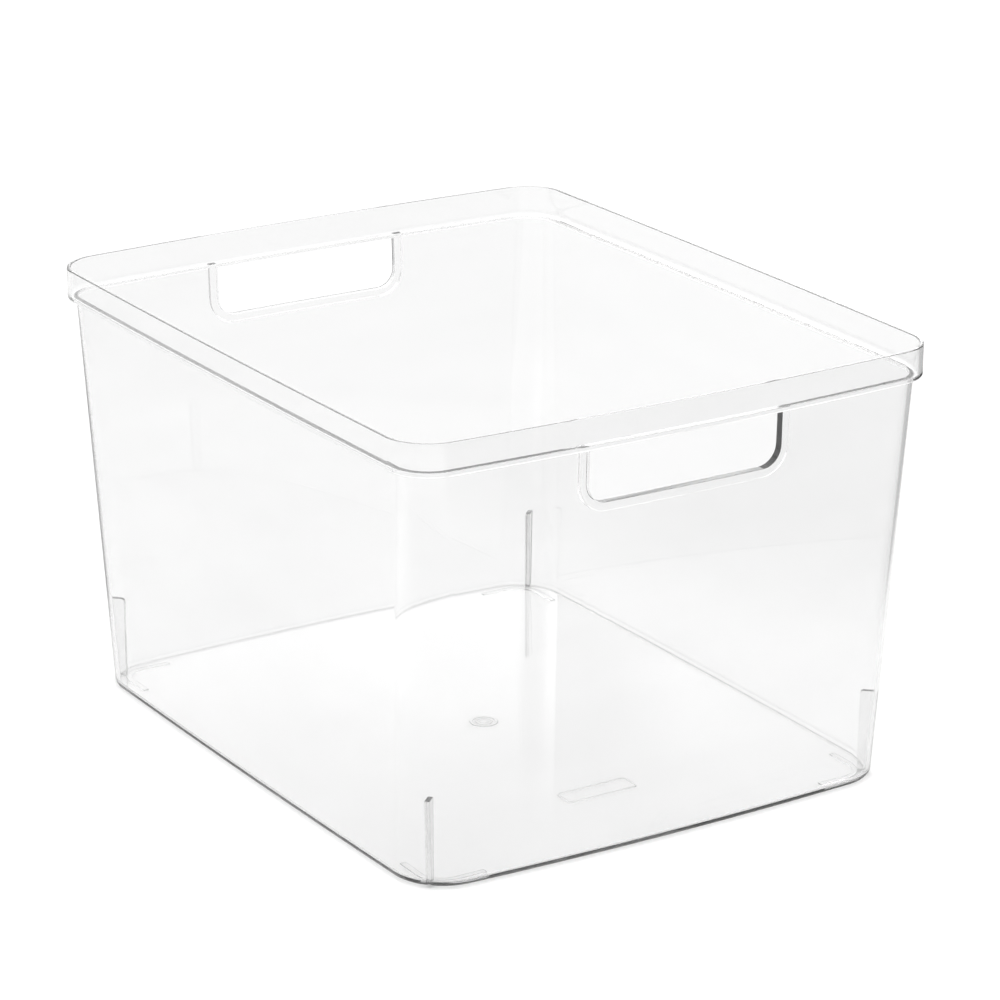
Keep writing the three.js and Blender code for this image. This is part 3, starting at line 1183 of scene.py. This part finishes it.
@dataclass
class Studio:
    """A plain pale floor, soft light all round and the camera.

    Painted shade on the floor: rays from the bin see it a little greyer, and mirrored ones see a painted
    dark patch to the camera's right.
    """

    floor_size: float = 24.0
    floor_drop: float = 0.0002
    floor_white: tuple[float, float, float] = (0.93, 0.93, 0.93)
    # Painted shade: rays from the bin see the floor greyer than the camera does, and mirrored rays see a
    # painted dark patch aside
    floor_painted_grey: tuple[float, float, float] = (0.83, 0.83, 0.83)
    floor_painted_dark: tuple[float, float, float] = (0.1, 0.1, 0.1)
    aside_fade: tuple[float, float] = (0.47, 0.3)
    aside_clear: float = 0.65
    sky_low: float = 0.6
    sky_high: float = 1.33
    panels: tuple[SkyPanel, ...] = (
        # A low band, weaker in the middle
        SkyPanel(0.34),
        SkyPanel(0.44, side=(-1.0, 0.005), side_fade=0.01),
        SkyPanel(0.57, side=(0.05, 1.0), side_fade=0.028),
        # Strips that the right ledge and the lower edge of the front slot mirror
        SkyPanel(3.6, side=(0.012, 0.12), rise=(0.283, 0.312), side_fade=0.004, rise_fade=0.006),
        SkyPanel(0.95, side=(0.012, 0.12), rise=(0.318, 0.335), side_fade=0.004, rise_fade=0.004),
        # A panel that shows along the inner edge of the right ledge
        SkyPanel(0.45, side=(-0.75, -0.12), rise=(0.48, 0.68), side_fade=0.06, rise_fade=0.05),
    )
    pool_place: tuple[float, float, float] = (-0.45, 0.018, 1.5)
    pool_power: float = 50.0
    pool_spread: float = math.radians(17)
    pool_blend: float = 1.0
    pool_softness: float = 0.1
    light_bounces: int = 64
    eye: tuple[float, float, float] = (-1.0164, -1.6343, 0.7904)
    aim: tuple[float, float, float] = (0.0099, 0.0001, 0.1153)
    lens: float = 151.27
    sensor: float = 36.0

    def lay_floor(self) -> None:
        """Lay the floor, just under the feet, with painted shade that only rays from the bin see."""
        bpy.ops.object.select_all(action="DESELECT")
        bpy.ops.mesh.primitive_plane_add(size=self.floor_size, location=(0.0, 0.0, -self.floor_drop))
        floor = named("studio_floor")
        material = bpy.data.materials.new("pale_floor")
        material.use_nodes = True
        tree = material.node_tree
        nodes, links = tree.nodes, tree.links
        surface = nodes["Principled BSDF"]
        place = nodes.new("ShaderNodeTexCoord")
        axes = self._camera_axes(tree, place.outputs["Object"])
        # Painted shade for rays from the bin: a dark patch aside for mirrored rays, grey elsewhere; the
        # camera sees plain white
        lit = nodes.new("ShaderNodeMix")
        lit.data_type = "RGBA"
        lit.inputs["A"].default_value = (*self.floor_painted_dark, 1.0)
        lit.inputs["B"].default_value = (*self.floor_painted_grey, 1.0)
        path = nodes.new("ShaderNodeLightPath")
        near = self._ramp(tree, axes.outputs["X"], self.aside_fade, (0.0, 1.0))
        straight = self._ramp(tree, path.outputs["Glossy Depth"], (1.0, 0.0), (self.aside_clear, 1.0))
        clear = self._mix(tree, Combine.PRODUCT, straight, path.outputs["Is Transmission Ray"])
        links.new(self._mix(tree, Combine.LARGER, near, clear), lit.inputs["Factor"])
        shade = nodes.new("ShaderNodeMix")
        shade.data_type = "RGBA"
        links.new(lit.outputs["Result"], shade.inputs["A"])
        shade.inputs["B"].default_value = (*self.floor_white, 1.0)
        links.new(path.outputs["Is Camera Ray"], shade.inputs["Factor"])
        links.new(shade.outputs["Result"], surface.inputs["Base Color"])
        surface.inputs["Roughness"].default_value = 1.0
        surface.inputs["Specular IOR Level"].default_value = 0.0
        floor.data.materials.append(material)

    def _camera_axes(self, tree: bpy.types.NodeTree, place: bpy.types.NodeSocket) -> bpy.types.ShaderNode:
        """Turn a place or direction about Z, so that its Y runs straight ahead of the camera.

        Args:
            tree: The node tree.
            place: The place or direction.

        Returns:
            The node that puts out the turned axes.
        """
        ahead = Vector(self.aim) - Vector(self.eye)
        turn = tree.nodes.new("ShaderNodeMapping")
        turn.inputs["Rotation"].default_value = (0.0, 0.0, math.atan2(ahead.x, ahead.y))
        axes = tree.nodes.new("ShaderNodeSeparateXYZ")
        tree.links.new(place, turn.inputs["Vector"])
        tree.links.new(turn.outputs["Vector"], axes.inputs["Vector"])
        return axes

    @staticmethod
    def _ramp(
        tree: bpy.types.NodeTree,
        source: bpy.types.NodeSocket,
        given: tuple[float, float],
        wanted: tuple[float, float],
    ) -> bpy.types.NodeSocket:
        """Add a soft step to a node tree.

        Args:
            tree: The node tree.
            source: The value that the step follows.
            given: The values where the step starts and ends.
            wanted: What the step puts out there.

        Returns:
            The step's output.
        """
        step = tree.nodes.new("ShaderNodeMapRange")
        step.interpolation_type = "SMOOTHSTEP"
        low, high = sorted(zip(given, wanted))
        step.inputs["From Min"].default_value, step.inputs["To Min"].default_value = low
        step.inputs["From Max"].default_value, step.inputs["To Max"].default_value = high
        tree.links.new(source, step.inputs["Value"])
        return step.outputs["Result"]

    @staticmethod
    def _mix(
        tree: bpy.types.NodeTree, how: Combine, first: bpy.types.NodeSocket, second: bpy.types.NodeSocket
    ) -> bpy.types.NodeSocket:
        """Join two values in a node tree.

        Args:
            tree: The node tree.
            how: How they become one.
            first: The first value.
            second: The second value.

        Returns:
            The result's output.
        """
        node = tree.nodes.new("ShaderNodeMath")
        node.operation = how.value
        tree.links.new(first, node.inputs[0])
        tree.links.new(second, node.inputs[1])
        return node.outputs["Value"]

    def hang_sky(self) -> None:
        """Hang a soft sky all round, with bright panels low behind the bin."""
        world = bpy.data.worlds.new("soft_studio")
        bpy.context.scene.world = world
        world.use_nodes = True
        tree = world.node_tree
        nodes, links = tree.nodes, tree.links
        place = nodes.new("ShaderNodeTexCoord")
        axes = self._camera_axes(tree, place.outputs["Generated"])
        sky = self._ramp(tree, axes.outputs["Z"], (0.0, 1.0), (self.sky_low, self.sky_high))
        for panel in self.panels:
            light = self._ramp(tree, axes.outputs["Y"], panel.ahead, (0.0, panel.strength))
            for axis, (low, high), fade in (
                ("X", panel.side, panel.side_fade),
                ("Z", panel.rise, panel.rise_fade),
            ):
                for edge in ((low - fade, low), (high + fade, high)):
                    share = self._ramp(tree, axes.outputs[axis], edge, (0.0, 1.0))
                    light = self._mix(tree, Combine.PRODUCT, light, share)
            sky = self._mix(tree, Combine.SUM, sky, light)
        links.new(sky, nodes["Background"].inputs["Strength"])
        nodes["Background"].inputs["Color"].default_value = (1.0, 1.0, 1.0, 1.0)

    def light_front(self) -> None:
        """Light the floor before the front corner, which the corner shows as a pale streak."""
        bpy.ops.object.light_add(type="SPOT", location=self.pool_place)
        lamp = bpy.context.object.data
        lamp.energy = self.pool_power
        lamp.spot_size = self.pool_spread
        lamp.spot_blend = self.pool_blend
        lamp.shadow_soft_size = self.pool_softness

    def set_camera(self) -> None:
        """Stand the camera where the photograph was taken from."""
        eye, aim = Vector(self.eye), Vector(self.aim)
        turn = (aim - eye).to_track_quat("-Z", "Y").to_euler()
        bpy.ops.object.camera_add(location=eye, rotation=turn)
        camera = bpy.context.object
        camera.data.lens = self.lens
        camera.data.sensor_width = self.sensor
        bpy.context.scene.camera = camera

    def set_light_paths(self) -> None:
        """Let light pass through many walls, and show tones as they are."""
        scene = bpy.context.scene
        scene.cycles.max_bounces = self.light_bounces
        scene.cycles.transmission_bounces = self.light_bounces
        scene.cycles.glossy_bounces = self.light_bounces
        scene.cycles.blur_glossy = 0.0
        scene.cycles.use_denoising = True
        scene.view_settings.view_transform = "Standard"

    def build(self) -> None:
        """Set up the whole studio."""
        self.lay_floor()
        self.hang_sky()
        self.light_front()
        self.set_camera()
        self.set_light_paths()


def hand_over(
    piece: bpy.types.Object, finish: ClearFinish, material: bpy.types.Material, *nodes: str
) -> None:
    """Finish a piece, let it ride on the frame and report it.

    Args:
        piece: The finished mesh.
        finish: What it is made of; not used.
        material: The finish's material.
        nodes: The CAD nodes that it stands for.
    """
    polish(piece)
    piece.data.materials.clear()
    piece.data.materials.append(material)
    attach(piece, BODY)
    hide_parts(*nodes)
    LOG.info("%s: %d faces, for %s", piece.name, len(piece.data.polygons), ", ".join(nodes))


def main() -> None:
    """Build the bin and the studio round it."""
    logging.basicConfig(level=logging.INFO, format="%(name)s: %(message)s")
    gloss = ClearFinish("clear_gloss")
    rib = ClearFinish("clear_rib", absorption=45.0)
    satin = ClearFinish(
        "clear_satin",
        slot=Slot.SATIN,
        clear=(0.985, 0.985, 0.985),
        dim=(0.965, 0.965, 0.965),
        scuff=0.06,
        wave_size=0.003,
        wave_height=0.00001,
    )
    flow = MouldFlow().group()
    materials = {finish: finish.material(flow) for finish in (gloss, rib, satin)}
    shell = MouldedShell.from_frame()
    hand_over(shell.build(HandHold()), gloss, materials[gloss], *shell.replaced())
    fin = CornerFin().build()
    for corner, piece in at_corners(fin, "corner_fin", Corner.FRONT_LEFT).items():
        hand_over(piece, rib, materials[rib], f"fin_{corner.place}")
    foot = FootRunner().build()
    for corner, piece in at_corners(foot, "foot_runner", Corner.FRONT_RIGHT).items():
        hand_over(piece, gloss, materials[gloss], f"foot_{corner.place}")
    marks = FloorMarks()
    hand_over(marks.gate(), satin, materials[satin], "gate_mark")
    hand_over(marks.panel(), satin, materials[satin], "label_panel")
    Studio().build()


if __name__ == "__main__":
    main()
